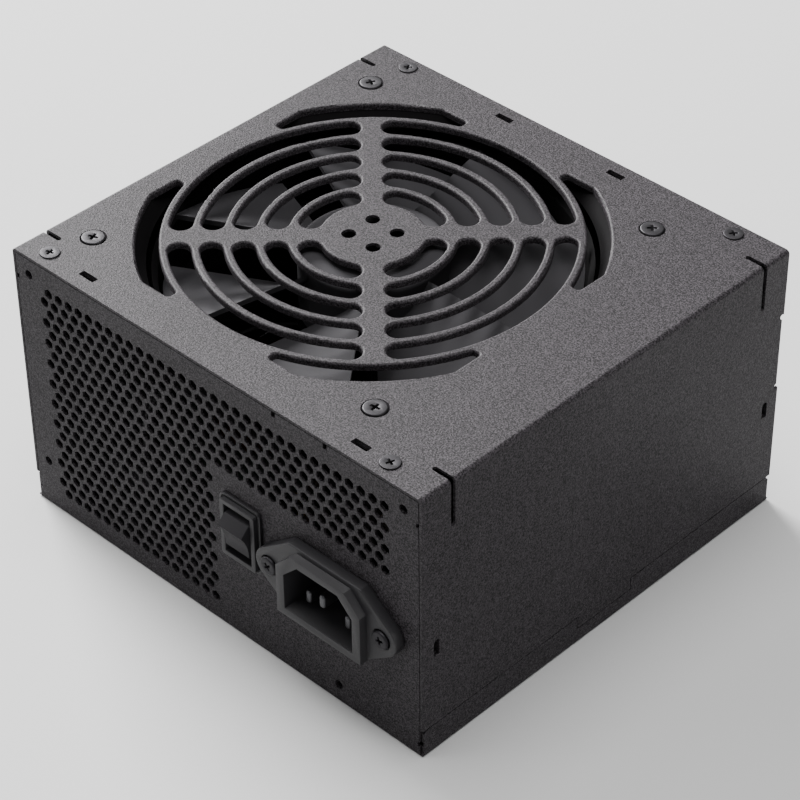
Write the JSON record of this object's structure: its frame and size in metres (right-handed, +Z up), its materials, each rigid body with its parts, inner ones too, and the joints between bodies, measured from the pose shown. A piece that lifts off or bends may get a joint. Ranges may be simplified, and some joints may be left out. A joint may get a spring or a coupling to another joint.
{
  "type": "power supply unit",
  "caption": "Desktop computer power supply in a folded black steel case, with a ring grille over the fan, honeycomb vents, mains inlet and rocker switch.",
  "frame": {"origin": "centre of the flat bottom face of the case", "axes": "+Z up through the fan grille, +Y from the rear panel with the inlet towards the cable side, +X to the right seen from behind, where the inlet is"},
  "size_m": [0.15, 0.1476, 0.0864],
  "materials": {
    "powder_coated_steel": "fine textured black powder coat",
    "black_screw_steel": "black zinc plated",
    "black_nylon": "moulded matt",
    "gloss_black_nylon": "moulded satin",
    "insulating_film": "plain film",
    "fan_plastic": "moulded matt",
    "fan_blade_plastic": "moulded satin",
    "plain_steel": "bright zinc plated",
    "bronze": "sintered bronze",
    "ferrite": "fired ferrite",
    "copper": "enamelled copper",
    "brass": "plain",
    "nickel_brass": "nickel plated",
    "circuit_board": "dark solder mask",
    "black_wire": "smooth PVC",
    "brown_wire": "smooth PVC",
    "green_yellow_wire": "smooth PVC",
    "aluminium": "black anodised",
    "black_epoxy": "moulded epoxy",
    "capacitor_sleeve": "shrunk sleeve",
    "film_case": "moulded",
    "dipped_ceramic": "dipped ceramic",
    "clear_glass": "clear tube",
    "polyester_tape": "plain tape"
  },
  "bodies": {
    "case": {"base_tray": "powder_coated_steel", "board_screws": "plain_steel", "board_standoffs": "brass", "bridge_rectifier": "black_epoxy", "bulk_capacitor": "capacitor_sleeve", "cable_grommet": "black_nylon", "control_board": "circuit_board", "control_chips": "black_epoxy", "cover_screws": "black_screw_steel", "cover_shell": "powder_coated_steel", "earth_lead": "green_yellow_wire", "earth_lug": "nickel_brass", "fan_bearing": "bronze", "fan_circuit_board": "circuit_board", "fan_coils": "copper", "fan_frame": "fan_plastic", "fan_header": "black_nylon", "fan_lead": "black_wire", "fan_plug": "black_nylon", "fan_screws": "black_screw_steel", "fan_stator": "plain_steel", "filter_choke_cores": "ferrite", "filter_choke_windings": "copper", "fuse": "clear_glass", "fuse_clips": "nickel_brass", "heatsink_screws": "plain_steel", "inlet_earth_pin": "nickel_brass", "inlet_housing": "black_nylon", "inlet_line_pins": "nickel_brass", "inlet_nuts": "plain_steel", "inlet_screws": "black_screw_steel", "insulation_sheet": "insulating_film", "main_board": "circuit_board", "mains_leads": "brown_wire", "output_capacitors": "capacitor_sleeve", "output_choke_core": "ferrite", "output_choke_winding": "copper", "pfc_choke_core": "ferrite", "pfc_choke_winding": "copper", "primary_heatsink": "aluminium", "primary_transistors": "black_epoxy", "secondary_heatsink": "aluminium", "secondary_rectifiers": "black_epoxy", "standby_bobbin": "black_nylon", "standby_core": "ferrite", "standby_winding": "polyester_tape", "switch_contact": "brass", "switch_housing": "black_nylon", "switch_terminals": "brass", "transformer_bobbin": "black_nylon", "transformer_core": "ferrite", "transformer_winding": "polyester_tape", "x_capacitor": "film_case", "y_capacitors": "dipped_ceramic"},
    "fan_wheel": {"fan_rotor": "fan_blade_plastic", "fan_shaft": "plain_steel", "fan_magnet": "ferrite"},
    "rocker": {"switch_rocker": "gloss_black_nylon", "switch_plunger": "brass"}
  },
  "joints": [
    {"name": "fan_spin", "type": "hinge", "parent": "case", "child": "fan_wheel", "pos_m": [-0.0102, 0.0002, 0.07], "axis": [0, 0, 1], "continuous": true},
    {"name": "rocker_tilt", "type": "hinge", "parent": "case", "child": "rocker", "pos_m": [0.011, -0.07025, 0.038], "axis": [-1, 0, 0], "range_deg": [0, 34]}
  ]
}
